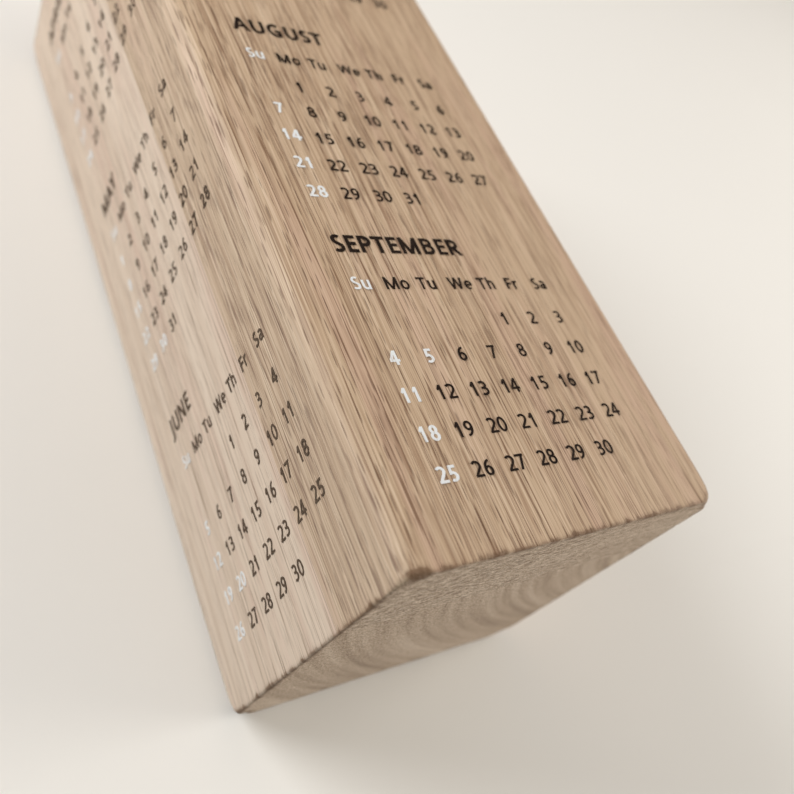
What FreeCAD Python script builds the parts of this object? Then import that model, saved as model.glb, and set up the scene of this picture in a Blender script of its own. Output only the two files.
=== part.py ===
import FreeCAD, Part
import calendar
import math
import os
from FreeCAD import Placement, Rotation, Vector

# Flip desk calendar: a square-section block of hardwood with a year printed on its four long faces, three
# months to a face. The owner turns the block to its next face at each quarter. Nothing on it moves.
#
# The block is glued up from two boards, a thick one and a thin one, and then sanded flush and rounded.
#
# Frame, in millimetres: the block stands on its bottom end. The origin is the centre of that end, and +Z runs
# up the block, along the grain and towards the top of the print. Seen from above, the quarters follow each
# other anticlockwise: January to March on -Y, April to June on +X, July to September on +Y and October to
# December on -X. The thin board has the July to September face.
#
# Each month is two layers of ink on the wood, one black and one white, and each layer is a group of letters.

# ---- driving dimensions ----
BLOCK_WIDTH = 60.0          # across each of the four long faces
BLOCK_LENGTH = 160.0        # along the grain
THIN_BOARD = 18.2           # the block is glued up from two boards, and this is the thickness of the +Y one
LONG_EDGE_RADIUS = 2.8      # rounding of the four long edges
END_EDGE_CHAMFER = 0.3      # broken edge around each sawn end
INK_THICKNESS = 0.05        # one printed coat

PITCH = 0.0975 * BLOCK_WIDTH                # day columns and week rows are equally spaced
LAST_WEEK_HEIGHT = 1.91 * PITCH             # third month's fifth week above the bottom end
FIRST_TO_THIRD_MONTH = 17.2 * PITCH         # first month's first week above the third month's first week
HEADING_RISE = 0.97 * PITCH                 # weekday baseline above the first week's centre
TITLE_RISE = 2.115 * PITCH                  # title baseline above the first week's centre
TEXT_LEFT = 0.28 * PITCH                    # headings and titles start this far left of their column's centre
SUNDAY_INSET = 0.05 * PITCH                 # the Sunday heading starts this far right of the title

DIGIT_HEIGHT = 0.39 * PITCH
HEADING_HEIGHT = 0.375 * PITCH
TITLE_HEIGHT = 0.54 * PITCH

# Stroke thickness as a share of the letter's height
BLACK_DIGIT_STROKE = 0.165
WHITE_DIGIT_STROKE = 0.195
HEADING_STROKE = 0.175
TITLE_STROKE = 0.205
CROSS_STROKE = 0.86         # horizontal strokes are this much as thick as upright ones

DIGIT_ADVANCE = 0.78        # from one digit's left side to the next, as a share of the height
OVERSHOOT = 0.012           # round letters pass the baseline and the top by this share of the height
X_HEIGHT = 0.75             # height of small letters beside a capital

# ---- the printed year ----
YEAR = 2022
WEEKDAYS = ("Su", "Mo", "Tu", "We", "Th", "Fr", "Sa")
STANDARD_WEEKS = 5          # week rows in the third month of each quarter
HOLIDAYS = {1: (1, 17), 2: (21,), 5: (30,), 6: (20,), 7: (4,), 9: (5,), 10: (10,), 11: (11, 24), 12: (26,)}
UP = Vector(0, 0, 1)

# The face that each quarter is printed on, and how far that print lies to the right and up from its usual
# place. The faces are printed one at a time, and the block sits a little differently in the press each time.
FACES = (
    (Vector(0, -1, 0), (0.0, 0.0)),
    (Vector(1, 0, 0), (1.9, -0.3)),
    (Vector(0, 1, 0), (-0.8, 0.3)),
    (Vector(-1, 0, 0), (0.0, 0.0)),
)


# ---- flat shapes that letters are made from; a letter is drawn 1 high, with its left side at x = 0 ----
def level(stroke):
    """Thickness of a level stroke beside an upright one."""
    return CROSS_STROKE * stroke


def flat(outline):
    """The flat face inside a closed outline, facing +Z."""
    face = Part.Face(outline)
    if face.normalAt(0, 0).z < 0:
        face.reverse()
    return face


def polygon(*corners):
    points = [Vector(x, y, 0) for x, y in corners]
    return flat(Part.makePolygon(points + points[:1]))


def bar(left, bottom, right, top):
    return polygon((left, bottom), (right, bottom), (right, top), (left, top))


def slant(foot, head, stroke):
    """A straight stroke between two points that is cut level at both ends."""
    run = head[0] - foot[0]
    rise = head[1] - foot[1]
    half = 0.5 * stroke * math.hypot(run, rise) / rise
    sole = [(foot[0] - half, foot[1]), (foot[0] + half, foot[1])]
    crown = [(head[0] + half, head[1]), (head[0] - half, head[1])]
    return polygon(*sole, *crown)


def oval(centre, across, up):
    """The outline of an ellipse, from its half width and half height."""
    middle = Vector(centre[0], centre[1], 0)
    right = middle + Vector(across, 0, 0)
    left = middle - Vector(across, 0, 0)
    top = middle + Vector(0, up, 0)
    if math.isclose(across, up):
        curve = Part.Circle(middle, UP, up)
    elif across > up:
        curve = Part.Ellipse(right, top, middle)
    else:
        curve = Part.Ellipse(top, left, middle)
    return Part.Wire(curve.toShape())


def ring(centre, across, up, stroke):
    """A closed bowl. across and up are its outer half width and half height."""
    inner = oval(centre, across - stroke, up - level(stroke))
    inner.reverse()
    return flat([oval(centre, across, up), inner])


def clipped(face, left, bottom, right, top):
    """The piece of a face inside a rectangle."""
    return face.common(bar(left, bottom, right, top)).Faces[0]


def right_bowl(left, bottom, right, top, stroke):
    """The bowl of B, D, P and R: two level strokes joined by half an ellipse."""
    cross = level(stroke)
    turn = right - min(right - left, 0.5 * (top - bottom) * 1.15)
    centre = (turn, 0.5 * (bottom + top))
    bend = ring(centre, right - turn, 0.5 * (top - bottom), stroke)
    parts = [clipped(bend, turn, bottom - 1, right + 1, top + 1)]
    if turn > left + 1e-6:
        parts += [bar(left, bottom, turn, bottom + cross), bar(left, top - cross, turn, top)]
    return parts


def turned(pieces, centre):
    """The pieces turned half round in their plane."""
    for piece in pieces:
        piece.rotate(Vector(*centre, 0), UP, 180)
    return pieces


def curve_points(centre, across, up, start, end, count=7):
    """Points along an ellipse from one angle to another, in degrees, anticlockwise from +X."""
    angles = [math.radians(start + (end - start) * i / (count - 1)) for i in range(count)]
    return [(centre[0] + across * math.cos(a), centre[1] + up * math.sin(a)) for a in angles]


def ribbon(points, stroke):
    """A smooth pen stroke through points, cut square at both ends and thinner where it runs level."""
    path = Part.BSplineCurve()
    path.interpolate([Vector(x, y, 0) for x, y in points])
    samples = 3 * len(points)
    left, right = [], []
    for i in range(samples + 1):
        at = path.FirstParameter + (path.LastParameter - path.FirstParameter) * i / samples
        along = path.tangent(at)[0]
        half = 0.5 * stroke * math.hypot(along.y, CROSS_STROKE * along.x)
        aside = Vector(-along.y, along.x, 0) * half
        left.append(path.value(at) + aside)
        right.append(path.value(at) - aside)
    sides = []
    for side in (left, right):
        curve = Part.BSplineCurve()
        curve.interpolate(side)
        sides.append(curve.toShape())
    caps = [Part.makeLine(left[0], right[0]), Part.makeLine(left[-1], right[-1])]
    return flat(Part.Wire(Part.__sortEdges__(sides + caps)))


# ---- digits: each returns its flat pieces and its width; the 1 keeps a gap on its right ----
def digit_0(s):
    return [ring((0.33, 0.5), 0.33, 0.5 + OVERSHOOT, s)], 0.66


def digit_1(s):
    stem = bar(0.40 - s, 0, 0.40, 1)
    flag = polygon((0.40 - s, 1), (0.40 - 0.5 * s, 1), (0.40 - 0.5 * s, 0.80), (0.13, 0.62), (0.05, 0.72))
    return [stem, flag], 0.56


def digit_2(s):
    cross = level(s)
    bowl = curve_points((0.30, 0.71), 0.34 - 0.5 * s, 0.30 + OVERSHOOT - 0.5 * cross, 145, -30)
    foot = [(0.30, 0.32), (0.03 + 0.6 * s, 0.5 * cross)]
    return [ribbon(bowl + foot, s), bar(0.03, 0, 0.66, cross)], 0.66


def digit_3(s):
    half = 0.5 * level(s)
    join = 0.52
    upper_rise = 0.5 * (1 + OVERSHOOT - half - join)
    lower_rise = 0.5 * (join + OVERSHOOT - half)
    top = curve_points((0.28, join + upper_rise), 0.31 - 0.5 * s, upper_rise, 140, -90)
    base = curve_points((0.28, join - lower_rise), 0.36 - 0.5 * s, lower_rise, 90, -130)
    shelf = bar(0.17, join - half, 0.28, join + half)
    return [ribbon(top, s), ribbon(base, s), shelf], 0.64


def digit_4(s):
    cross = level(s)
    stem = bar(0.56 - s, 0, 0.56, 1)
    shelf_top = 0.22 + cross
    shelf = bar(0, 0.22, 0.70, shelf_top)
    slope_foot = [(0, shelf_top), (0, 0.22), (1.2 * s, 0.22), (1.2 * s, shelf_top)]
    slope_head = [(0.56 - s, 0.77), (0.56 - 0.5 * s, 1), (0.56 - 1.1 * s, 1)]
    return [stem, shelf, polygon(*slope_foot, *slope_head)], 0.70


def digit_5(s):
    cross = level(s)
    top = bar(0.11, 1 - cross, 0.58, 1)
    back = polygon((0.11, 1), (0.11 + s, 1), (0.075 + s, 0.52), (0.075, 0.49))
    centre = (0.26, 0.5 * (0.62 - OVERSHOOT))
    bowl = curve_points(centre, 0.36 - 0.5 * s, 0.5 * (0.62 + OVERSHOOT) - 0.5 * cross, 118, -125, 9)
    return [top, back, ribbon([(0.10, 0.52)] + bowl, s)], 0.62


def digit_6(s):
    bowl = ring((0.355, 0.305), 0.305, 0.305 + OVERSHOOT, s)
    side = curve_points((0.56, 0.36), 0.51 - 0.5 * s, 0.65 - 0.5 * level(s), 92, 184)
    return [bowl, ribbon(side, s)], 0.66


def digit_7(s):
    cross = level(s)
    return [bar(0.02, 1 - cross, 0.66, 1), slant((0.22, 0), (0.65 - 0.56 * s, 1), s)], 0.66


def digit_8(s):
    top = 1 + OVERSHOOT
    waist_top = 0.52 + 0.5 * level(s)
    waist_bottom = 0.52 - 0.5 * level(s)
    upper = ring((0.33, 0.5 * (top + waist_bottom)), 0.285, 0.5 * (top - waist_bottom), s)
    lower = ring((0.33, 0.5 * (waist_top - OVERSHOOT)), 0.325, 0.5 * (waist_top + OVERSHOOT), s)
    return [upper, lower], 0.66


def digit_9(s):
    pieces, width = digit_6(s)
    return turned(pieces, (0.5 * width, 0.5)), width


# ---- capitals ----
def letter_A(s):
    cross = level(s)
    width = 0.86 + 0.5 * s
    foot = 0.55 * s
    apex = 0.5 * width
    legs = [slant((foot, 0), (apex, 1), s), slant((width - foot, 0), (apex, 1), s)]
    return legs + [bar(0.5 * apex - 0.2 * s, 0.25, width - 0.5 * apex + 0.2 * s, 0.25 + cross)], width


def letter_B(s):
    waist = 0.54 - 0.5 * level(s)
    upper = right_bowl(s, waist, 0.67, 1, s)
    lower = right_bowl(s, 0, 0.72, waist + level(s), s)
    return [bar(0, 0, s, 1)] + upper + lower, 0.72


def letter_C(s):
    centre = (0.48, 0.5)
    up = 0.5 + OVERSHOOT - 0.5 * level(s)
    return [ribbon(curve_points(centre, 0.48 - 0.5 * s, up, 58, 302, 11), s)], 0.74


def letter_D(s):
    cross = level(s)
    bend = clipped(ring((0.36, 0.5), 0.48, 0.5, s), 0.36, -1, 1, 2)
    return [bar(0, 0, s, 1), bend, bar(s, 0, 0.36, cross), bar(s, 1 - cross, 0.36, 1)], 0.84


def letter_E(s):
    middle = bar(0, 0.5 - 0.4 * level(s), 0.53, 0.5 + 0.6 * level(s))
    return letter_F(s)[0][:2] + [middle, bar(0, 0, 0.56, level(s))], 0.56


def letter_F(s):
    cross = level(s)
    return [bar(0, 0, s, 1), bar(0, 1 - cross, 0.56, 1), bar(0, 0.43, 0.53, 0.43 + cross)], 0.56


def letter_G(s):
    cross = level(s)
    up = 0.5 + OVERSHOOT - 0.5 * cross
    bow = ribbon(curve_points((0.49, 0.5), 0.49 - 0.5 * s, up, 60, 290, 11), s)
    return [bow, bar(0.81 - s, 0.07, 0.81, 0.54), bar(0.46, 0.54 - cross, 0.81, 0.54),
            polygon((0.60, 0.0), (0.60, cross), (0.81, 0.15), (0.81, 0.05))], 0.81


def letter_H(s):
    cross = level(s)
    return [bar(0, 0, s, 1), bar(0.82 - s, 0, 0.82, 1), bar(0, 0.45, 0.82, 0.45 + cross)], 0.82


def letter_I(s):
    return [bar(0, 0, s, 1)], s


def letter_J(s):
    hook = [(s * 0.5, 0.08), (0.5 * s - 0.03, -0.10), (-0.06, -0.185), (-0.18, -0.19)]
    return [bar(0, 0.06, s, 1), ribbon(hook, s)], s


def letter_L(s):
    return [bar(0, 0, s, 1), bar(0, 0, 0.58, level(s))], 0.58


def letter_M(s):
    width = 1.04
    strokes = [slant((0.5 * width, 0), (0.55 * s, 1), s), slant((0.5 * width, 0), (width - 0.55 * s, 1), s)]
    return [bar(0, 0, s, 1), bar(width - s, 0, width, 1)] + strokes, width


def letter_N(s):
    width = 0.87
    return [bar(0, 0, s, 1), bar(width - s, 0, width, 1), slant((width - 0.6 * s, 0), (0.6 * s, 1), s)], width


def letter_O(s):
    return [ring((0.47, 0.5), 0.47, 0.5 + OVERSHOOT, s)], 0.94


def letter_P(s):
    return [bar(0, 0, s, 1)] + right_bowl(s, 0.37, 0.68, 1, s), 0.68


def letter_R(s):
    return letter_P(s)[0] + [slant((0.77 - 0.6 * s, 0), (0.36, 0.45), s)], 0.77


def letter_S(s):
    cross = level(s)
    upper = curve_points((0.34, 0.735), 0.31 - 0.5 * s, 0.265 + OVERSHOOT - 0.5 * cross, 48, 195)
    lower = curve_points((0.28, 0.27), 0.34 - 0.5 * s, 0.27 + OVERSHOOT - 0.5 * cross, 15, -138)
    return [ribbon(upper + lower, s)], 0.62


def letter_T(s):
    width = 0.73
    left = 0.5 * (width - s)
    return [bar(0, 1 - level(s), width, 1), bar(left, 0, left + s, 1)], width


def letter_U(s):
    width = 0.79
    turn = 0.36
    bend = clipped(ring((0.5 * width, turn), 0.5 * width, turn + OVERSHOOT, s), -1, -1, 2, turn)
    return [bend, bar(0, turn, s, 1), bar(width - s, turn, width, 1)], width


def letter_V(s):
    width = 0.88
    foot = 0.5 * width
    return [slant((foot, 0), (0.55 * s, 1), s), slant((foot, 0), (width - 0.55 * s, 1), s)], width


def letter_W(s):
    width = 1.28
    heads = (0.55 * s, 0.5 * width, width - 0.55 * s)
    feet = (0.27 * width, 0.73 * width)
    strokes = [(feet[0], heads[0]), (feet[0], heads[1]), (feet[1], heads[1]), (feet[1], heads[2])]
    return [slant((foot, 0), (head, 1), s) for foot, head in strokes], width


def letter_Y(s):
    width = 0.83
    middle = 0.5 * width
    arms = [slant((middle, 0.38), (0.57 * s, 1), s), slant((middle, 0.38), (width - 0.57 * s, 1), s)]
    return [bar(middle - 0.5 * s, 0, middle + 0.5 * s, 0.42)] + arms, width


# ---- small letters ----
def small_a(s):
    width = 0.58
    cross = level(s)
    arch = curve_points((0.29, 0.50), 0.29 - 0.5 * s, X_HEIGHT + OVERSHOOT - 0.50 - 0.5 * cross, 140, 0, 6)
    bowl = clipped(ring((0.265, 0.215), 0.265, 0.215 + OVERSHOOT, s), -1, -1, width - 0.5 * s, 1)
    return [ribbon(arch + [(width - 0.5 * s, 0.35)], s), bar(width - s, 0, width, 0.40), bowl], width


def small_e(s):
    middle = 0.5 * X_HEIGHT
    half = 0.5 * level(s)
    bow = ribbon(curve_points((0.34, middle), 0.34 - 0.5 * s, middle + OVERSHOOT - half, -4, 300, 13), s)
    return [bow, bar(0.5 * s, middle - half, 0.68 - 0.5 * s, middle + half)], 0.68


def small_h(s):
    pieces, width = small_n(s)
    return pieces + [bar(0, 0, s, 1.05)], width


def small_n(s):
    width = 0.61
    cross = level(s)
    turn = X_HEIGHT - 0.28
    half = 0.5 * width
    bend = clipped(ring((half, turn), half, X_HEIGHT + OVERSHOOT - turn, s), 0.5 * s, turn, 2, 2)
    shoulder = bar(0.5 * s, X_HEIGHT - 1.1 * cross, 0.62 * s, X_HEIGHT - cross)
    return [bend, shoulder, bar(width - s, 0, width, turn), bar(0, 0, s, X_HEIGHT)], width


def small_o(s):
    return [ring((0.35, 0.5 * X_HEIGHT), 0.35, 0.5 * X_HEIGHT + OVERSHOOT, s)], 0.70


def small_r(s):
    arm = [(0.5 * s, 0.38), (0.5 * s + 0.05, 0.56), (0.26, 0.665), (0.42, 0.675)]
    return [bar(0, 0, s, X_HEIGHT), ribbon(arm, s)], 0.42


def small_u(s):
    pieces, width = small_n(s)
    return turned(pieces, (0.5 * width, 0.5 * X_HEIGHT)), width


# Each letter's shape, with the gaps it keeps on its left and right
STRAIGHT, ROUND, OPEN = 0.115, 0.075, 0.03
LETTERS = {
    "A": (letter_A, 0, 0), "B": (letter_B, STRAIGHT, ROUND), "C": (letter_C, ROUND, OPEN),
    "D": (letter_D, STRAIGHT, ROUND), "E": (letter_E, STRAIGHT, OPEN), "F": (letter_F, STRAIGHT, OPEN),
    "G": (letter_G, ROUND, STRAIGHT), "H": (letter_H, STRAIGHT, STRAIGHT),
    "I": (letter_I, STRAIGHT, STRAIGHT), "J": (letter_J, STRAIGHT, STRAIGHT), "L": (letter_L, STRAIGHT, 0),
    "M": (letter_M, STRAIGHT, STRAIGHT), "N": (letter_N, STRAIGHT, STRAIGHT), "O": (letter_O, ROUND, ROUND),
    "P": (letter_P, STRAIGHT, OPEN), "R": (letter_R, STRAIGHT, 0), "S": (letter_S, OPEN, OPEN),
    "T": (letter_T, OPEN, OPEN), "U": (letter_U, STRAIGHT, STRAIGHT), "V": (letter_V, 0, 0),
    "W": (letter_W, OPEN, OPEN), "Y": (letter_Y, 0, 0), "a": (small_a, ROUND, STRAIGHT),
    "e": (small_e, ROUND, ROUND), "h": (small_h, STRAIGHT, STRAIGHT), "o": (small_o, ROUND, ROUND),
    "r": (small_r, STRAIGHT, 0), "u": (small_u, STRAIGHT, STRAIGHT),
}
DIGITS = (digit_0, digit_1, digit_2, digit_3, digit_4, digit_5, digit_6, digit_7, digit_8, digit_9)


# ---- the block ----
def rounded_block():
    half = 0.5 * BLOCK_WIDTH
    block = Part.makeBox(BLOCK_WIDTH, BLOCK_WIDTH, BLOCK_LENGTH, Vector(-half, -half, 0))
    long_edges = [edge for edge in block.Edges if edge.BoundBox.ZLength > 0.5 * BLOCK_LENGTH]
    block = block.makeFillet(LONG_EDGE_RADIUS, long_edges)
    end_edges = [edge for edge in block.Edges if edge.BoundBox.ZLength < 1e-6]
    return block.makeChamfer(END_EDGE_CHAMFER, end_edges)


def boards():
    """The thick board on the -Y side and the thin one on the +Y side. They meet at a flat glue joint."""
    block = rounded_block()
    half = 0.5 * BLOCK_WIDTH
    glue_joint = half - THIN_BOARD
    halves = []
    for low, high in ((-half, glue_joint), (glue_joint, half)):
        slab = Part.makeBox(BLOCK_WIDTH, high - low, BLOCK_LENGTH, Vector(-half, low, 0))
        halves.append(block.common(slab).Solids[0])
    return halves


# ---- the print ----
made_letters = {}


def raised_letter(shape, height, stroke):
    """A letter's ink at the given height, lying on z = 0 with its left side at x = 0, and its width."""
    key = (shape, height, stroke)
    if key not in made_letters:
        pieces, width = shape(stroke)
        outline = pieces[0].multiFuse(pieces[1:]).removeSplitter() if len(pieces) > 1 else pieces[0]
        outline.scale(height)
        ink = outline.extrude(Vector(0, 0, INK_THICKNESS)).Solids
        if len(ink) != 1 or not ink[0].isValid():
            raise ValueError(f"{shape.__name__} is not one sound solid")
        made_letters[key] = (ink[0], width * height)
    return made_letters[key]


def placed(solid, face, x, baseline):
    copy = solid.copy()
    copy.Placement = face.multiply(Placement(Vector(x, baseline, 0), Rotation()))
    return copy


def number_ink(number, face, x, middle, stroke):
    """A day's number, its digits in equal cells that are centred on x."""
    cell = DIGIT_ADVANCE * DIGIT_HEIGHT
    baseline = middle - 0.5 * DIGIT_HEIGHT
    digits = str(number)
    ink = []
    for place, digit in enumerate(digits):
        solid, width = raised_letter(DIGITS[int(digit)], DIGIT_HEIGHT, stroke)
        cell_middle = x + cell * (place + 0.5 - 0.5 * len(digits))
        ink.append(placed(solid, face, cell_middle - 0.5 * width, baseline))
    return ink


def word_ink(word, face, left, baseline, height, stroke):
    """A word whose first letter's ink starts at left."""
    ink = []
    x = left - LETTERS[word[0]][1] * height
    for letter in word:
        shape, gap_left, gap_right = LETTERS[letter]
        solid, width = raised_letter(shape, height, stroke)
        ink.append(placed(solid, face, x + gap_left * height, baseline))
        x += (gap_left + gap_right) * height + width
    return ink


def first_week_heights(weeks_in_month):
    """Height of each month's first week on one face. The three months have equal gaps between them."""
    third = LAST_WEEK_HEIGHT + (STANDARD_WEEKS - 1) * PITCH
    first = third + FIRST_TO_THIRD_MONTH
    spans = [(weeks - 1) * PITCH for weeks in weeks_in_month[:2]]
    gap = 0.5 * (FIRST_TO_THIRD_MONTH - sum(spans))
    return first, first - spans[0] - gap, third


def month_ink(month, weeks, face, first_week):
    """The black and the white ink of one month, as two lists of solids."""
    black, white = [], []
    left = -3 * PITCH - TEXT_LEFT
    title = calendar.month_name[month].upper()
    black += word_ink(title, face, left, first_week + TITLE_RISE, TITLE_HEIGHT, TITLE_STROKE)
    for column, heading in enumerate(WEEKDAYS):
        ink = white if column == 0 else black
        start = left + column * PITCH + (SUNDAY_INSET if column == 0 else 0)
        ink += word_ink(heading, face, start, first_week + HEADING_RISE, HEADING_HEIGHT, HEADING_STROKE)
    for row, week in enumerate(weeks):
        for column, day in enumerate(week):
            if day == 0:
                continue
            day_off = column == 0 or day in HOLIDAYS.get(month, ())
            ink = white if day_off else black
            stroke = WHITE_DIGIT_STROKE if day_off else BLACK_DIGIT_STROKE
            ink += number_ink(day, face, (column - 3) * PITCH, first_week - row * PITCH, stroke)
    return black, white


def face_placement(normal, shift):
    """Takes x along the text, y up the block and z out of the face, from the foot of its middle line."""
    along = UP.cross(normal)
    foot = normal * (0.5 * BLOCK_WIDTH) + along * shift[0] + UP * shift[1]
    return Placement(foot, Rotation(along, UP, normal, "XYZ"))


def save(node, solids):
    Part.makeCompound(solids).exportStep(f"parts/{node}.step")


def main():
    os.makedirs("parts", exist_ok=True)
    thick, thin = boards()
    save("thick_board", [thick])
    save("thin_board", [thin])
    year = calendar.Calendar(firstweekday=6)
    for quarter, (normal, shift) in enumerate(FACES):
        months = [3 * quarter + place for place in (1, 2, 3)]
        weeks = [year.monthdayscalendar(YEAR, month) for month in months]
        heights = first_week_heights([len(rows) for rows in weeks])
        for month, rows, height in zip(months, weeks, heights):
            black, white = month_ink(month, rows, face_placement(normal, shift), height)
            name = calendar.month_name[month].lower()
            save(f"{name}_black_print", black)
            save(f"{name}_white_print", white)


if __name__ == "__main__":
    main()
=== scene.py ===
import math

import bmesh
import bpy
import numpy as np
from mathutils import Matrix, Vector
from mathutils.geometry import delaunay_2d_cdt


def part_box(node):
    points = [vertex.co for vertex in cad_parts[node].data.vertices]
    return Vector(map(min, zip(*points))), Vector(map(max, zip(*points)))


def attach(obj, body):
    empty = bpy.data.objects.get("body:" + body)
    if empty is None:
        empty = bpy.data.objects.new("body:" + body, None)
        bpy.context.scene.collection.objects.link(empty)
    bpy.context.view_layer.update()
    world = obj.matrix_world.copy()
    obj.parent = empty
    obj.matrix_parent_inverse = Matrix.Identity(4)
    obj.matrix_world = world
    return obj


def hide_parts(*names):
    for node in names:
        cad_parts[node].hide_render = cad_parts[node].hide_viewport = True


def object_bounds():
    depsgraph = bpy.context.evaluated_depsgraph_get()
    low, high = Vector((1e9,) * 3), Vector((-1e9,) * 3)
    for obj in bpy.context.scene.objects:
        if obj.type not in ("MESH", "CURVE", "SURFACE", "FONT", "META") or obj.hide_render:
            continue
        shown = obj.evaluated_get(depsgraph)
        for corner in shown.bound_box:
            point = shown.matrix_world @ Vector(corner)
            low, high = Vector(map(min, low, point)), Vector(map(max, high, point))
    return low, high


# Looks for a wooden block calendar. The CAD's print keeps its shape and gets ink. The plain CAD boards are
# replaced by boards of the same size with sanded corners, chipped end edges, open pores and sawn ends. The
# bottom end's slightly uneven cut is a guess from the photo's outline, and the CAD's end is flat and square.
# Everything is in the CAD's frame: +Z runs along the grain, and the bottom end is at z = 0.

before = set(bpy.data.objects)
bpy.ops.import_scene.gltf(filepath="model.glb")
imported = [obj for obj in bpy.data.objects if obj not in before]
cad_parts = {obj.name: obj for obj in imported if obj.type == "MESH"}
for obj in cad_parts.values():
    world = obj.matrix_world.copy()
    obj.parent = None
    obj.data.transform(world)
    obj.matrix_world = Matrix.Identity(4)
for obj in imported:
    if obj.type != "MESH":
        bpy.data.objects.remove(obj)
cad_low, cad_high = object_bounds()

MM = 0.001
THICK_LOW, THICK_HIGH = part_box("thick_board")
WIDTH = (THICK_HIGH.x - THICK_LOW.x) / MM       # the block's sizes, in millimetres
LENGTH = (THICK_HIGH.z - THICK_LOW.z) / MM
GLUE_JOINT = THICK_HIGH.y / MM                  # the boards meet here, across Y
HALF = WIDTH / 2
EDGE_RADIUS = 2.8                               # of the long edges, as in the CAD
SEED = 20


# =====================================================================================================
# Shape of the block, in millimetres
# =====================================================================================================
COLUMNS_PER_FACE = 205                          # mesh columns on one flat face
EDGE_TURN = tuple(range(9, 90, 9))              # mesh columns round one long edge, in degrees
MIDDLE_ROWS = 78                                # mesh rows between the two end zones
END_ZONE = (0.2, 0.6, 1.0, 1.6, 2.4, 3.4, 4.8)  # row heights above the broken end edge
EDGE_BREAK_TURN = (0, 18, 36, 54, 72, 90)       # mesh rows round a broken end edge, in degrees
CAP_SPACING = 0.85                              # between mesh points on a sawn end

EDGE_BREAK = 0.28                               # usual size of the broken end edge
EDGE_BREAK_LIMITS = (0.15, 2.2)
EDGE_WAVES = (160, 37)                          # round the outline: fine and broad waves in that size
CHIPS_PER_END = 320
CHIP_DEPTH = (0.03, 0.24)
CHIP_HALF_WIDTH = (0.15, 0.35)
TORN_AND_SHADE_WAVES = 210                                # round the outline, in the darker band along an end edge, partly torn fibres and partly painted shade of the broken edge
TORN_AND_SHADE_LENGTH = 0.2                               # that darker band of torn fibres and painted shade fades over this length
CORNER_REACH = 2.7                              # a corner is worn this far from the middle of its long edge
BOTTOM_WEAR = (0.5, 1.8, 1.6, 1.7)              # extra break at the corners: +X+Y, -X+Y, -X-Y and +X-Y
TOP_WEAR = (1.6, 1.5, 1.7, 1.4)
UNEVEN_CUT = 1.0                                # how far the bottom end is out of square, at its +X-Y corner
TORN_CORNER = (0.4, 0.9, 0.35)                  # place, half width and depth of the chip beside +X+Y
CORNER_SANDING = 0.7                            # how much larger a long edge's radius gets at an end
SANDING_REACH = 2.4                             # the sanding fades over this length
CUT_FADE = 6.0                                  # mesh rows get level over this length above the uneven cut
BREAK_FADE = 3.0                                # and over this one beside the chips of an end edge
SURFACE_FADE = 0.5                              # pores and ridges fade over this length at an end

RIDGE_DEPTH = 0.035
RIDGE_CELLS = ((330, 5), (120, 3))              # fine and broad ridges: round the outline and along the block
OPEN_GRAIN = (1.0, 0.4)                         # strength of the pores in the thin board and in the thick one
GROOVE_COUNT = 2300
GROOVE_DEPTH = (0.04, 0.15)
GROOVE_WIDTH = (0.14, 0.30)
GROOVE_LENGTH = (3.0, 15.0)
SAW_MARK_DEPTH = 0.05
RIM_GAP = 0.4                                   # the scattered points on an end keep this far from its rim


def round_noise(rng, u, cells):
    """Smooth noise from -1 to 1 round a closed loop, for u from 0 to 1."""
    knots = rng.uniform(-1, 1, cells)
    at = u * cells
    left = np.floor(at).astype(int)
    part = at - left
    part = part * part * (3 - 2 * part)
    return knots[left % cells] * (1 - part) + knots[(left + 1) % cells] * part


def face_noise(rng, u, v, cells_u, cells_v):
    """Smooth noise over the long faces: u runs round them and closes on itself, and v runs along them."""
    at = v * cells_v
    low = np.minimum(np.floor(at).astype(int), cells_v - 1)
    part = at - low
    part = part * part * (3 - 2 * part)
    rows = np.array([round_noise(rng, u, cells_u) for _ in range(cells_v + 1)])
    return rows[low].T * (1 - part) + rows[low + 1].T * part


def sharp_outline():
    """Points round the block's outline as if its long edges were sharp, anticlockwise from above."""
    flat = HALF - EDGE_RADIUS
    side = [(HALF, t) for t in np.linspace(-flat, flat, COLUMNS_PER_FACE)]
    for angle in EDGE_TURN:
        reach = flat + EDGE_RADIUS * math.tan(math.radians(min(angle, 90 - angle)))
        side.append((HALF, reach) if angle <= 45 else (reach, HALF))
    x, y = np.array(side).T
    return np.concatenate([np.stack(turned, 1) for turned in ((x, y), (-y, x), (-x, -y), (y, -x))])


def rounded(outline, radius):
    """The outline with its corners rounded to radius, and its outward normals."""
    inner = np.clip(outline, radius - HALF, HALF - radius)
    outward = outline - inner
    outward /= np.linalg.norm(outward, axis=1)[:, None]
    return inner + outward * radius, outward


def grooves(rng, arc, heights, total):
    """Depth of the long open pores at each column and row. They run with the grain and taper at both ends."""
    depth = np.zeros((len(arc), len(heights)))
    for _ in range(GROOVE_COUNT):
        place, middle = rng.uniform(0, total), rng.uniform(0, LENGTH)
        width, length = rng.uniform(*GROOVE_WIDTH), rng.uniform(*GROOVE_LENGTH)
        deepest = rng.uniform(*GROOVE_DEPTH)
        away = np.abs((arc - place + total / 2) % total - total / 2)
        columns = np.nonzero(away < 2 * width)[0]
        rows = np.nonzero(np.abs(heights - middle) < length)[0]
        across = np.exp(-((away[columns] / width) ** 2))
        lengthwise = np.exp(-(((heights[rows] - middle) / (0.5 * length)) ** 4))
        window = np.ix_(columns, rows)
        depth[window] = np.maximum(depth[window], deepest * np.outer(across, lengthwise))
    return depth


def bump(arc, total, place, half_width, power=2):
    """1 at a place on the outline, falling to 0 at about its half width on either side."""
    away = np.abs((arc - place + total / 2) % total - total / 2)
    return np.exp(-((away / half_width) ** power))


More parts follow.
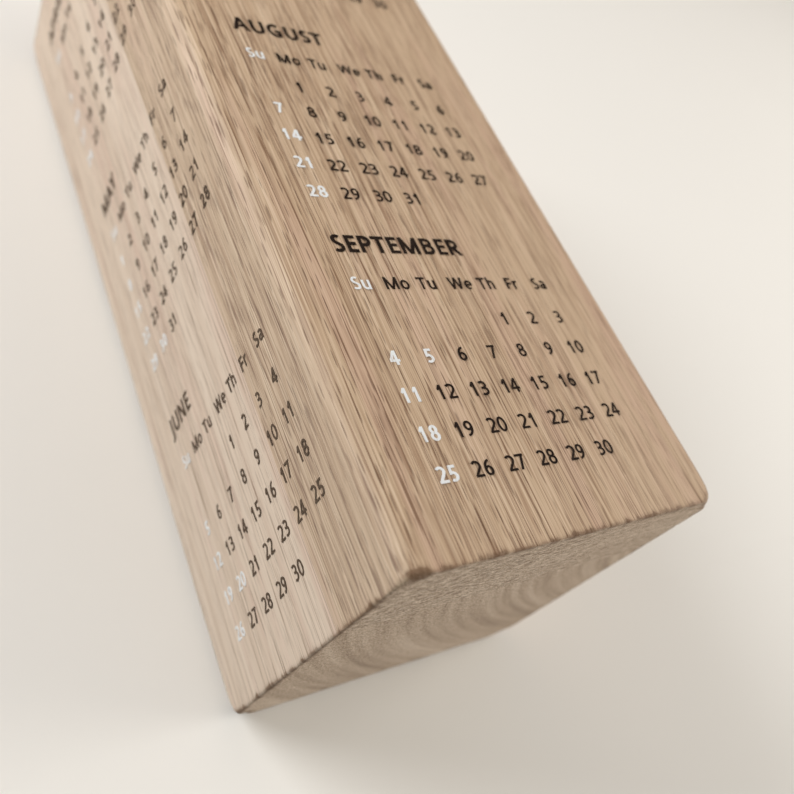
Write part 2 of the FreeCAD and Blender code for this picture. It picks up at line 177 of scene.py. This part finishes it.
def end_edge(rng, arc, total, corners, torn_corner):
    """Size of a broken end edge round the outline, and how dark the band along it is there: torn fibres and
    painted shade.
    """
    u = arc / total
    fine, broad = EDGE_WAVES
    size = EDGE_BREAK * (1 + 0.35 * round_noise(rng, u, fine) + 0.25 * round_noise(rng, u, broad))
    torn_and_shade = 0.55 + 0.4 * round_noise(rng, u, TORN_AND_SHADE_WAVES)
    for _ in range(CHIPS_PER_END):
        depth, place = rng.uniform(*CHIP_DEPTH), rng.uniform(0, total)
        chip = depth * bump(arc, total, place, rng.uniform(*CHIP_HALF_WIDTH))
        size += chip
        torn_and_shade += chip
    edge_middle = 2 * (HALF - EDGE_RADIUS) + EDGE_RADIUS * math.pi / 4
    for corner, wear in enumerate(corners):
        size += wear * bump(arc, total, edge_middle + corner * total / 4, CORNER_REACH, 4)
    if torn_corner:
        place, half_width, depth = torn_corner
        chip = depth * bump(arc, total, edge_middle + place, half_width)
        size += chip
        torn_and_shade += chip
    return np.clip(size, *EDGE_BREAK_LIMITS), np.clip(torn_and_shade, 0, 1)


def bottom_level(x, y):
    """Height of the bottom end, which the saw left slightly out of square towards -Y."""
    return UNEVEN_CUT * (0.5 - y / WIDTH) * (0.75 + 0.5 * x / WIDTH)


def measured(outline):
    """Distance along the outline to each of its points, and all the way round."""
    steps = np.linalg.norm(np.roll(outline, -1, axis=0) - outline, axis=1)
    return np.concatenate([[0], np.cumsum(steps)[:-1]]), steps.sum()


def mesh_rows(level, bottom_break, top_break):
    """Height and inset of each mesh row at every column, from the bottom end's rim to the top end's."""
    middle = np.linspace(END_ZONE[-1], LENGTH - END_ZONE[-1], MIDDLE_ROWS + 2)[1:-1]
    straight_rows = np.array([*END_ZONE, *middle, *(LENGTH - z for z in reversed(END_ZONE))])
    heights, insets = [], []
    for angle in map(math.radians, EDGE_BREAK_TURN):
        heights.append(level + bottom_break * (1 - math.cos(angle)))
        insets.append(bottom_break * (1 - math.sin(angle)))
    for z in straight_rows:
        raised = level * math.exp(-z / CUT_FADE) + bottom_break * math.exp(-z / BREAK_FADE)
        heights.append(z + raised - top_break * math.exp((z - LENGTH) / BREAK_FADE))
        insets.append(np.zeros(len(level)))
    for angle in map(math.radians, reversed(EDGE_BREAK_TURN)):
        heights.append(LENGTH - top_break * (1 - math.cos(angle)))
        insets.append(top_break * (1 - math.sin(angle)))
    return np.array(heights).T, np.array(insets).T


def long_faces(rng):
    """Mesh points of the long faces, column by column, and how far each is in a pore and in the end edges'
    dark band of torn fibres and painted shade.
    """
    outline = sharp_outline()
    nominal, _ = rounded(outline, EDGE_RADIUS)
    arc, total = measured(nominal)
    bottom_break, bottom_torn_and_shade = end_edge(rng, arc, total, BOTTOM_WEAR, TORN_CORNER)
    top_break, top_torn_and_shade = end_edge(rng, arc, total, TOP_WEAR, None)
    level = bottom_level(*nominal.T)
    heights, insets = mesh_rows(level, bottom_break, top_break)

    row_z = heights.mean(axis=0)
    from_end = np.minimum(row_z, LENGTH - row_z)
    open_grain = np.where(nominal[:, 1] > GLUE_JOINT, *OPEN_GRAIN)
    pores = grooves(rng, arc, row_z, total) * open_grain[:, None]
    fine, broad = (face_noise(rng, arc / total, row_z / LENGTH, *cells) for cells in RIDGE_CELLS)
    ridges = 0.5 + 0.3 * fine + 0.2 * broad
    depth = (pores + RIDGE_DEPTH * ridges) * np.minimum(1, from_end / SURFACE_FADE) + insets

    radii = EDGE_RADIUS + CORNER_SANDING * np.exp(-from_end / SANDING_REACH)
    points = np.empty((*heights.shape, 3))
    for row, radius in enumerate(radii):
        base, outward = rounded(outline, radius)
        points[:, row, :2] = base - outward * depth[:, row, None]
        points[:, row, 2] = heights[:, row]
    above = np.maximum(heights - (level + bottom_break)[:, None], 0)
    below = np.maximum(LENGTH - top_break[:, None] - heights, 0)
    # The darker band at each end edge, partly torn fibres and partly painted shade, fades away from the end
    torn_and_shade = bottom_torn_and_shade[:, None] * np.exp(-above / TORN_AND_SHADE_LENGTH)
    torn_and_shade += top_torn_and_shade[:, None] * np.exp(-below / TORN_AND_SHADE_LENGTH)
    return points, pores / GROOVE_DEPTH[1], torn_and_shade


def scattered_points(rng, rim):
    """Points scattered over the inside of one end's rim."""
    reach = int(HALF / CAP_SPACING)
    grid = [(i + 0.5 * (j % 2), j * 0.87) for i in range(-reach, reach) for j in range(-reach - 4, reach + 5)]
    points = np.array(grid) * CAP_SPACING + rng.uniform(-0.2, 0.2, (len(grid), 2)) * CAP_SPACING
    rim_turn = np.arctan2(rim[:, 1], rim[:, 0])
    order = np.argsort(rim_turn)
    turn = np.arctan2(points[:, 1], points[:, 0])
    to_rim = np.interp(turn, rim_turn[order], np.hypot(*rim[order, :2].T))
    return points[np.hypot(*points.T) < to_rim - RIM_GAP]


def saw_marks(rng, x, y):
    """Depth of the saw's curved marks and of small dents at places on an end."""
    marks = 0.5 + 0.5 * np.sin(y * 2.1 + 1.5 * np.sin(x / 17) + 0.8 * np.sin(y / 5))
    dents = rng.uniform(0, 1, len(x)) ** 3
    return SAW_MARK_DEPTH * (0.6 * marks + 0.8 * dents)


def sawn_end(rng, rim, height, up):
    """Mesh points inside one end, and triangles over its rim and them.

    up is 1 for the top end and -1 for the bottom.
    """
    count = len(rim)
    inside = scattered_points(rng, rim)
    flat = [Vector(p) for p in np.concatenate([rim[:, :2], inside])]
    loop = [(i, (i + 1) % count) for i in range(count)]
    _, _, triangles, origins, _, _ = delaunay_2d_cdt(flat, loop, [list(range(count))], 1, 1e-6)
    faces = []
    for triangle in triangles:
        corners = [origins[i][0] for i in triangle]
        faces.append(corners if up > 0 else corners[::-1])
    depth = saw_marks(rng, *inside.T)
    level = bottom_level(*inside.T) if up < 0 else 0
    return np.column_stack([inside, height + level - up * depth]), faces


def block_mesh():
    """The whole wooden block as one closed mesh."""
    rng = np.random.default_rng(SEED)
    points, pores, torn_and_shade = long_faces(rng)
    columns, rows = points.shape[:2]
    index = np.arange(columns * rows).reshape(columns, rows)
    after = np.roll(index, -1, axis=0)
    faces = np.stack([index[:, :-1], after[:, :-1], after[:, 1:], index[:, 1:]], -1).reshape(-1, 4).tolist()

    parts = [points.reshape(-1, 3)]
    for row, height, up in ((0, 0.0, -1), (rows - 1, LENGTH, 1)):
        inside, triangles = sawn_end(rng, points[:, row], height, up)
        start = sum(map(len, parts))
        places = np.concatenate([index[:, row], np.arange(start, start + len(inside))])
        faces += places[np.array(triangles)].tolist()
        parts.append(inside)

    mesh = bpy.data.meshes.new("block")
    mesh.from_pydata((np.concatenate(parts) * MM).tolist(), [], faces)
    extra = np.zeros(sum(map(len, parts[1:])))
    for name, values in (("pore", pores), ("torn_and_shade", torn_and_shade)):
        attribute = mesh.attributes.new(name, "FLOAT", "POINT")
        attribute.data.foreach_set("value", np.append(values.ravel(), extra).astype(np.float32))
    mesh.polygons.foreach_set("use_smooth", np.ones(len(mesh.polygons), bool))
    return mesh


def build_board(block, node, above, slot, grain):
    """The board above or below the glue joint, cut from the block's mesh and closed by a flat face.

    node is the CAD board that it stands for, and slot is that board's material slot.
    """
    shape = bmesh.new()
    shape.from_mesh(block)
    everything = shape.verts[:] + shape.edges[:] + shape.faces[:]
    cut = bmesh.ops.bisect_plane(
        shape, geom=everything, plane_co=(0, GLUE_JOINT * MM, 0), plane_no=(0, 1, 0),
        clear_inner=above, clear_outer=not above)
    rim = [item for item in cut["geom_cut"] if isinstance(item, bmesh.types.BMEdge)]
    for edge in rim:
        edge.smooth = False
    bmesh.ops.edgeloop_fill(shape, edges=rim)
    bmesh.ops.recalc_face_normals(shape, faces=shape.faces[:])

    name = node.replace("board", "sanded_board")
    mesh = bpy.data.meshes.new(name)
    shape.to_mesh(mesh)
    shape.free()
    mesh.materials.append(wood_material(f"sanded_{slot}", grain))
    board = bpy.data.objects.new(name, mesh)
    bpy.context.scene.collection.objects.link(board)
    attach(board, "root")
    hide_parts(node)


# =====================================================================================================
# Materials
# =====================================================================================================
class Nodes:
    """A material's or world's node tree, with short calls that each add a node and return its output."""

    def __init__(self, owner):
        owner.use_nodes = True
        self.tree = owner.node_tree
        self.tree.nodes.clear()

    def add(self, kind, inputs=None, **settings):
        node = self.tree.nodes.new(kind)
        for name, value in settings.items():
            setattr(node, name, value)
        for name, value in (inputs or {}).items():
            self.put(node.inputs[name], value)
        return node

    def put(self, socket, value):
        if isinstance(value, bpy.types.NodeSocket):
            self.tree.links.new(value, socket)
        else:
            socket.default_value = value

    def math(self, operation, a, b=0.0, clamp=False):
        node = self.add("ShaderNodeMath", {0: a, 1: b}, operation=operation)
        node.use_clamp = clamp
        return node.outputs[0]

    def vector(self, operation, a, b=(0, 0, 0)):
        node = self.add("ShaderNodeVectorMath", {0: a, 1: b}, operation=operation)
        return node.outputs["Value" if operation in ("LENGTH", "DOT_PRODUCT") else "Vector"]

    def step(self, value, low, high):
        """0 below low, 1 above high and smooth between. low may be the larger."""
        inputs = {"Value": value, "From Min": low, "From Max": high}
        return self.add("ShaderNodeMapRange", inputs, interpolation_type="SMOOTHSTEP").outputs["Result"]

    def mix(self, share, a, b, blend="MIX"):
        node = self.add("ShaderNodeMix", data_type="RGBA", blend_type=blend)
        self.put(node.inputs[0], share)
        self.put(node.inputs[6], a)
        self.put(node.inputs[7], b)
        return node.outputs[2]

    def noise(self, at, detail=2.0, roughness=0.5):
        inputs = {"Vector": at, "Scale": 1.0, "Detail": detail, "Roughness": roughness}
        return self.add("ShaderNodeTexNoise", inputs).outputs[0]

    def cells(self, at):
        """Distance to the nearest of many scattered points, one in each unit cell."""
        return self.add("ShaderNodeTexVoronoi", {"Vector": at, "Scale": 1.0}).outputs["Distance"]

    def ramp(self, value, *stops):
        """Colours along value, each stop a place and an sRGB colour."""
        node = self.add("ShaderNodeValToRGB", {0: value})
        ends = node.color_ramp.elements
        while len(ends) < len(stops):
            ends.new(0.5)
        for end, (place, colour) in zip(ends, stops):
            end.position = place
            end.color = srgb(*colour)
        return node.outputs["Color"]


def srgb(red, green, blue):
    """A linear colour from 0 to 255 sRGB values."""
    return (*(((v / 255 + 0.055) / 1.055) ** 2.4 if v > 10 else v / 3294 for v in (red, green, blue)), 1.0)


# Each board's wood. The pith is the centre of its growth rings in the block's frame, in millimetres. The
# colours are sRGB along the grain's tone, and the other numbers but ring_width are strengths.
PALE_WOOD = {
    "pith": (-80.0, 62.0),
    "ring_width": 2.6,
    "rings": 0.2,
    "stripes": 0.35,
    "fibres": 0.4,
    "lines": 0.5,
    "pores": 0.15,
    "end_rings": 1.0,
    "side_haze": 0.0,
    "colours": (
        (0.0, (158, 129, 105)),
        (0.3, (199, 174, 151)),
        (0.55, (220, 199, 178)),
        (1.0, (232, 215, 196)),
    ),
}
BROWN_WOOD = {
    "pith": (-15.0, -25.0),
    "ring_width": 1.3,
    "rings": 0.15,
    "stripes": 0.25,
    "fibres": 1.25,
    "lines": 0.8,
    "pores": 0.58,
    "end_rings": 0.6,
    # strength of the painted haze of stray light on the +X faces
    "side_haze": 0.14,
    "colours": (
        (0.0, (120, 91, 66)),
        (0.26, (164, 134, 106)),
        (0.5, (197, 170, 141)),
        (0.75, (216, 192, 164)),
        (1.0, (230, 210, 185)),
    ),
}

# Colours that both woods share
PINK_STREAK = (204, 166, 148)
DARK_LINE = (114, 80, 56)
PORE = (96, 68, 50)
GROOVE = (116, 84, 62)
# Darker along the broken end edges: partly the torn fibres' colour, partly painted shade of the broken edge
TORN_FIBRES_AND_SHADE = (116, 86, 62)
# Painted light: a paler tint on the +X faces, a haze of stray light on that side
SIDE_HAZE = (218, 198, 182)
END_WOOD = ((0.1, (128, 105, 84)), (0.5, (193, 167, 141)), (0.9, (230, 210, 188)))
END_PORE = (112, 90, 72)
# Wood showing through ink worn on raised grain, and the paler colour of painted haze on the April to June
# face
THIN_INK_AND_HAZE = (205, 174, 146)

# Sizes of the grain's patterns, across it and along it, in millimetres
STRIPE_SIZE = (1.3, 130.0)
FIBRE_SIZE = (0.2, 24.0)
BAND_SIZE = (9.0, 90.0)
PINK_STREAK_SIZE = (4.5, 70.0)
DARK_LINE_SIZE = (1.3, 110.0)
LINE_GAP_SIZE = (0.32, 20.0)
SMALL_PORE_SIZE = (0.45, 6.0)
LARGE_PORE_SIZE = (0.9, 16.0)
RING_WANDER_SIZE = (60.0, 250.0)

# Repeats per millimetre of the patterns on a sawn end, along X, Y and Z
END_FIBRE_PITCH = (0.55, 2.9, 0.0)
END_SPECKLE_PITCH = (2.8, 3.6, 0.0)
END_PORE_PITCH = (1.5, 1.9, 0.0)

SWAY = (1.4, 1.4, 0.0)                          # how far the grain wanders sideways, in millimetres
SWAY_PITCH = (0.012, 0.012, 0.016)              # and its repeats per millimetre


def grain_position(nodes):
    """Place in the wood in millimetres, with the grain's slow sway added."""
    place = nodes.add("ShaderNodeTexCoord").outputs["Object"]
    place = nodes.vector("MULTIPLY", place, (1 / MM, 1 / MM, 1 / MM))
    slow = nodes.vector("MULTIPLY", place, SWAY_PITCH)
    sway = nodes.add("ShaderNodeTexNoise", {"Vector": slow, "Scale": 1.0, "Detail": 1.0}).outputs["Color"]
    sway = nodes.vector("SUBTRACT", sway, (0.5, 0.5, 0.5))
    return nodes.vector("ADD", place, nodes.vector("MULTIPLY", sway, SWAY))


def stretched(nodes, place, across, along):
    """Texture place for detail that is across wide and along long, in millimetres."""
    return nodes.vector("MULTIPLY", place, (1 / across, 1 / across, 1 / along))


def ring_distance(nodes, place, pith):
    """Distance from the centre of the growth rings, in millimetres."""
    flat = nodes.vector("MULTIPLY", place, (1, 1, 0))
    return nodes.vector("LENGTH", nodes.vector("SUBTRACT", flat, (*pith, 0)))


def ring_pattern(nodes, place, grain):
    """Growth rings from 0 to 1, each of its own width."""
    ring = nodes.math("DIVIDE", ring_distance(nodes, place, grain["pith"]), grain["ring_width"])
    at = nodes.add("ShaderNodeCombineXYZ", {"X": ring}).outputs[0]
    return nodes.noise(nodes.vector("ADD", at, stretched(nodes, place, *RING_WANDER_SIZE)), 2.0, 0.6)


def dark_lines(nodes, place):
    """1 on long thin lines of early wood, which break up along their length."""
    levels = nodes.math("MULTIPLY", nodes.noise(stretched(nodes, place, *DARK_LINE_SIZE), 2.0), 5.5)
    from_line = nodes.math("PINGPONG", levels, 0.5)
    gaps = nodes.step(nodes.noise(stretched(nodes, place, *LINE_GAP_SIZE), 1.0), 0.4, 0.52)
    return nodes.math("MULTIPLY", nodes.step(from_line, 0.14, 0.05), gaps)


def pore_mask(nodes, place):
    """1 in the open pores, which are thin dashes along the grain."""
    small = nodes.step(nodes.cells(stretched(nodes, place, *SMALL_PORE_SIZE)), 0.3, 0.16)
    large = nodes.step(nodes.cells(stretched(nodes, place, *LARGE_PORE_SIZE)), 0.2, 0.12)
    return nodes.math("MAXIMUM", small, large)


def around_middle(nodes, value, strength):
    """A pattern from 0 to 1, moved to lie around 0 and scaled by strength."""
    return nodes.math("MULTIPLY", nodes.math("SUBTRACT", value, 0.5), strength)


def coarseness(nodes, place):
    """How open the grain is: 1 near the +X side and 0.5 near the -X side."""
    coarse = nodes.step(nodes.vector("DOT_PRODUCT", place, (1, 0, 0)), -22, 14)
    return nodes.math("ADD", nodes.math("MULTIPLY", coarse, 0.5), 0.5)


def wood_pattern(nodes, place, grain):
    """Colour, pore mask and height of a sanded face."""
    rings = ring_pattern(nodes, place, grain)
    stripes = nodes.noise(stretched(nodes, place, *STRIPE_SIZE), 3.0, 0.6)
    fibres = nodes.noise(stretched(nodes, place, *FIBRE_SIZE), 2.0, 0.6)
    bands = nodes.noise(stretched(nodes, place, *BAND_SIZE), 1.0)
    coarse = coarseness(nodes, place)

    tone = around_middle(nodes, rings, grain["rings"])
    tone = nodes.math("ADD", tone, around_middle(nodes, stripes, grain["stripes"]))
    tone = nodes.math("ADD", tone, around_middle(nodes, fibres, grain["fibres"]))
    tone = nodes.math("MULTIPLY", tone, coarse)
    tone = nodes.math("ADD", tone, around_middle(nodes, bands, 0.18))
    wood = nodes.ramp(nodes.math("ADD", tone, 0.5, clamp=True), *grain["colours"])
    pink = nodes.step(nodes.noise(stretched(nodes, place, *PINK_STREAK_SIZE), 2.0), 0.5, 0.72)
    wood = nodes.mix(nodes.math("MULTIPLY", pink, 0.3), wood, srgb(*PINK_STREAK))

    lines = nodes.math("MULTIPLY", nodes.math("MULTIPLY", dark_lines(nodes, place), coarse), grain["lines"])
    wood = nodes.mix(lines, wood, srgb(*DARK_LINE))
    pores = nodes.math("MULTIPLY", pore_mask(nodes, place), coarse)
    wood = nodes.mix(nodes.math("MULTIPLY", pores, grain["pores"]), wood, srgb(*PORE))
    height = nodes.math("SUBTRACT", nodes.math("MULTIPLY", fibres, 0.5), pores)
    return wood, pores, height


def sawn_pattern(nodes, place, grain):
    """Colour and height of a sawn end: growth rings, pore dots and fine torn fibres along X."""
    rings = ring_pattern(nodes, place, grain)
    fibres = nodes.noise(nodes.vector("MULTIPLY", place, END_FIBRE_PITCH), 2.0, 0.7)
    speckle = nodes.noise(nodes.vector("MULTIPLY", place, END_SPECKLE_PITCH), 2.0, 0.7)
    rough = around_middle(nodes, fibres, 2.2 * grain["fibres"])
    rough = nodes.math("ADD", rough, around_middle(nodes, speckle, 2.0))
    tone = around_middle(nodes, rings, grain["end_rings"])
    tone = nodes.math("ADD", tone, nodes.math("MULTIPLY", rough, coarseness(nodes, place)))
    tone = nodes.math("ADD", tone, 0.5, clamp=True)
    wood = nodes.ramp(tone, *END_WOOD)
    dots = nodes.step(nodes.cells(nodes.vector("MULTIPLY", place, END_PORE_PITCH)), 0.28, 0.12)
    return nodes.mix(nodes.math("MULTIPLY", dots, 0.35), wood, srgb(*END_PORE)), tone


def finish_surface(nodes, colour, roughness, gloss, height, strength):
    """Ends a material: its shader, with fine relief where height changes."""
    relief = nodes.add("ShaderNodeBump", {"Height": height, "Strength": strength, "Distance": 0.1 * MM})
    surface = nodes.add("ShaderNodeBsdfPrincipled", {
        "Base Color": colour,
        "Roughness": roughness,
        "Normal": relief.outputs[0],
        "Specular IOR Level": gloss,
    })
    nodes.add("ShaderNodeOutputMaterial", {"Surface": surface.outputs[0]})


def wood_material(name, grain):
    """One board's wood: sanded grain on the long faces, a sawn pattern on the ends, and a dark band at the
    end edges, partly torn fibres and partly painted shade.
    """
    material = bpy.data.materials.new(name)
    nodes = Nodes(material)
    place = grain_position(nodes)
    wood, pores, height = wood_pattern(nodes, place, grain)
    groove = nodes.add("ShaderNodeAttribute", attribute_name="pore").outputs["Fac"]
    wood = nodes.mix(nodes.math("MULTIPLY", groove, 0.8 * grain["pores"]), wood, srgb(*GROOVE))

    # Painted light: faces turned to +X are painted paler, as a haze of stray light
    normal = nodes.add("ShaderNodeTexCoord").outputs["Normal"]
    on_side = nodes.step(nodes.vector("DOT_PRODUCT", normal, (1, 0, 0)), 0.4, 0.9)
    wood = nodes.mix(nodes.math("MULTIPLY", on_side, grain["side_haze"]), wood, srgb(*SIDE_HAZE))

    ends, end_height = sawn_pattern(nodes, place, grain)
    facing = nodes.math("ABSOLUTE", nodes.vector("DOT_PRODUCT", normal, (0, 0, 1)))
    on_end = nodes.step(facing, 0.6, 0.95)
    colour = nodes.mix(on_end, wood, ends)
    # Painted shade and torn fibres: the wood is painted darker along the broken end edges
    torn_and_shade = nodes.add("ShaderNodeAttribute", attribute_name="torn_and_shade").outputs["Fac"]
    colour = nodes.mix(nodes.math("MULTIPLY", torn_and_shade, 0.85), colour, srgb(*TORN_FIBRES_AND_SHADE))

    both = nodes.add("ShaderNodeMix", {0: on_end, 2: height, 3: end_height})
    roughness = nodes.math("ADD", 0.65, nodes.math("MULTIPLY", pores, 0.2))
    finish_surface(nodes, colour, roughness, 0.25, both.outputs[0], 0.6)
    return material


def ink_material(name, colour, pore_colour):
    """Printed ink. It partly misses the pores that it crosses, wears on raised grain, and has painted haze on
    the April to June face.
    """
    material = bpy.data.materials.new(name)
    nodes = Nodes(material)
    _, pores, height = wood_pattern(nodes, grain_position(nodes), BROWN_WOOD)
    ink = nodes.mix(nodes.math("MULTIPLY", pores, 0.35), srgb(*colour), srgb(*pore_colour))
    normal = nodes.add("ShaderNodeTexCoord").outputs["Normal"]
    on_april_face = nodes.step(nodes.vector("DOT_PRODUCT", normal, (1, 0, 0)), 0.4, 0.8)
    raised = nodes.step(height, 0.1, 0.45)
    # Painted light: the ink on the April to June face is painted paler, as haze of stray light; the raised
    # grain's share is worn ink
    haze_and_wear = nodes.math("MULTIPLY", on_april_face, 0.16)
    haze_and_wear = nodes.math("ADD", haze_and_wear, nodes.math("MULTIPLY", raised, 0.05))
    ink = nodes.mix(haze_and_wear, ink, srgb(*THIN_INK_AND_HAZE))
    finish_surface(nodes, ink, 0.65, 0.05, height, 0.35)
    return material


# =====================================================================================================
# Floor, table, light and camera
# =====================================================================================================
# The main camera looks up at the block's bottom end, with the block lying on its January to March face. So
# that view has a table plane behind the block, and every view from above has a floor under the block instead.
STAGE_SIZE = 6                                  # of the floor and the table, in metres
TABLE_GAP = 0.02 * MM                           # between the table and the print that lies on it
SWITCH_HEIGHT = 0.001                           # the floor and the table swap within this height of z = 0
FLOOR_COLOUR = (140, 138, 134)
FLOOR_GLOW = 0.72
TABLE_COLOUR = (241, 238, 232)
BACKDROP = (226, 221, 212)                      # what a camera sees of the room, and the floor's glow


def stage_material(name, colour, glow, seen_from_above):
    """Pale lacquer that is only there for a camera on its own side of the floor's height."""
    material = bpy.data.materials.new(name)
    nodes = Nodes(material)
    geometry = nodes.add("ShaderNodeNewGeometry")
    distance = nodes.add("ShaderNodeCameraData").outputs["View Distance"]
    incoming = {0: geometry.outputs["Incoming"], "Scale": distance}
    to_camera = nodes.add("ShaderNodeVectorMath", incoming, operation="SCALE").outputs["Vector"]
    camera = nodes.vector("ADD", geometry.outputs["Position"], to_camera)
    camera_height = nodes.vector("DOT_PRODUCT", camera, (0, 0, 1))
    full = SWITCH_HEIGHT if seen_from_above else -SWITCH_HEIGHT
    shown = nodes.step(camera_height, -full, full)

    place = nodes.add("ShaderNodeTexCoord").outputs["Object"]
    cloud = nodes.noise(nodes.vector("MULTIPLY", place, (7, 7, 7)), 2.0)
    tint = nodes.mix(nodes.math("MULTIPLY", cloud, 0.5), srgb(*colour), srgb(*(v - 5 for v in colour)))
    lacquer = nodes.add("ShaderNodeBsdfPrincipled", {
        "Base Color": tint,
        "Roughness": 0.5,
        "Specular IOR Level": 0.2,
        "Emission Color": srgb(*BACKDROP),
        "Emission Strength": glow,
    })
    clear = nodes.add("ShaderNodeBsdfTransparent")
    shader = nodes.add("ShaderNodeMixShader", {0: shown, 1: clear.outputs[0], 2: lacquer.outputs[0]})
    nodes.add("ShaderNodeOutputMaterial", {"Surface": shader.outputs[0]})
    return material


def stage_plane(name, matrix, material):
    """A square that only the camera sees, so that it neither lights nor shades the block."""
    half = STAGE_SIZE / 2
    corners = [(-half, -half, 0), (half, -half, 0), (half, half, 0), (-half, half, 0)]
    mesh = bpy.data.meshes.new(name)
    mesh.from_pydata(corners, [], [(0, 1, 2, 3)])
    mesh.materials.append(material)
    plane = bpy.data.objects.new(name, mesh)
    plane.matrix_world = matrix
    plane.visible_diffuse = False
    plane.visible_glossy = False
    plane.visible_transmission = False
    plane.visible_shadow = False
    bpy.context.scene.collection.objects.link(plane)


def build_stage():
    floor = stage_material("floor_lacquer", FLOOR_COLOUR, FLOOR_GLOW, True)
    stage_plane("floor", Matrix.Identity(4), floor)
    table = stage_material("table_lacquer", TABLE_COLOUR, 0.0, False)
    upright = Matrix.Translation((0, cad_low.y - TABLE_GAP, 0)) @ Matrix.Rotation(math.radians(-90), 4, "X")
    stage_plane("table", upright, table)


def soft_light(name, place, aim, size, power, colour):
    """A round lamp at a place, in metres, turned to its aim and unseen by the camera."""
    light = bpy.data.lights.new(name, "AREA")
    light.shape = "DISK"
    light.size = size
    light.energy = power
    light.color = srgb(*colour)[:3]
    lamp = bpy.data.objects.new(name, light)
    lamp.location = place
    lamp.rotation_euler = (Vector(place) - Vector(aim)).to_track_quat("Z", "Y").to_euler()
    lamp.visible_camera = False
    bpy.context.scene.collection.objects.link(lamp)


def build_light():
    """A bright room: soft light mostly from -X and from below the block's end, and two large lamps."""
    world = bpy.data.worlds.new("room")
    bpy.context.scene.world = world
    nodes = Nodes(world)
    direction = nodes.add("ShaderNodeTexCoord").outputs["Generated"]
    glow = (0.0, 0.0, 0.0, 1.0)
    for axis, colour in (((-1, 0, 0), (187, 171, 163)), ((0, 0, -1), (155, 164, 163))):
        side = nodes.step(nodes.vector("DOT_PRODUCT", direction, axis), -1.0, 1.0)
        glow = nodes.mix(side, glow, srgb(*colour), "ADD")
    seen = nodes.add("ShaderNodeLightPath").outputs["Is Camera Ray"]
    colour = nodes.mix(seen, glow, srgb(*BACKDROP))
    room = nodes.add("ShaderNodeBackground", {"Color": colour, "Strength": 1.0})
    nodes.add("ShaderNodeOutputWorld", {"Surface": room.outputs[0]})
    soft_light("key", (0.58, 0.3, 0.56), (0.03, 0, 0.11), 0.6, 8.4, (252, 253, 255))
    soft_light("fill", (-0.7, 0.35, -0.1), (0, 0, 0.05), 0.6, 3.0, (255, 253, 247))


# The camera, in block widths: beyond the +X+Y edge and lower than the bottom end, looking in and up
CAMERA_PLACE = Vector((1.3817, 1.7312, -0.3228))
CAMERA_AIM = Vector((-0.5900, -0.7001, 0.4022))
CAMERA_UP = Vector((-0.0781, 0.5453, 0.8346))
CAMERA_LENS = 37.68                             # in millimetres, like the sensor's width
SENSOR_WIDTH = 36
CAMERA_STOP = 20.0
FOCUS_PLACE = Vector((0.17, 0.5, 0.32))         # on the July to September face, among September's days


def build_camera():
    data = bpy.data.cameras.new("camera")
    data.lens = CAMERA_LENS
    data.sensor_width = SENSOR_WIDTH
    data.clip_start = 0.005
    data.clip_end = 20
    camera = bpy.data.objects.new("camera", data)
    back = -CAMERA_AIM.normalized()
    right = CAMERA_UP.cross(back).normalized()
    turn = Matrix((right, back.cross(right), back)).transposed()
    camera.matrix_world = Matrix.Translation(CAMERA_PLACE * WIDTH * MM) @ turn.to_4x4()
    bpy.context.scene.collection.objects.link(camera)
    bpy.context.scene.camera = camera

    focus = bpy.data.objects.new("focus", None)
    focus.location = FOCUS_PLACE * WIDTH * MM
    bpy.context.scene.collection.objects.link(focus)
    data.dof.use_dof = True
    data.dof.focus_object = focus
    data.dof.aperture_fstop = CAMERA_STOP


def main():
    block = block_mesh()
    build_board(block, "thick_board", False, "pale_wood", PALE_WOOD)
    build_board(block, "thin_board", True, "brown_wood", BROWN_WOOD)
    inks = {
        "black": ink_material("black_ink", (22, 14, 12), (64, 46, 36)),
        "white": ink_material("white_ink", (232, 234, 234), (190, 172, 156)),
    }
    for name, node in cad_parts.items():
        for kind, ink in inks.items():
            if name.endswith(f"_{kind}_print"):
                node.data.materials.clear()
                node.data.materials.append(ink)
    build_stage()
    build_light()
    build_camera()
    bpy.context.scene.view_settings.view_transform = "Standard"


main()
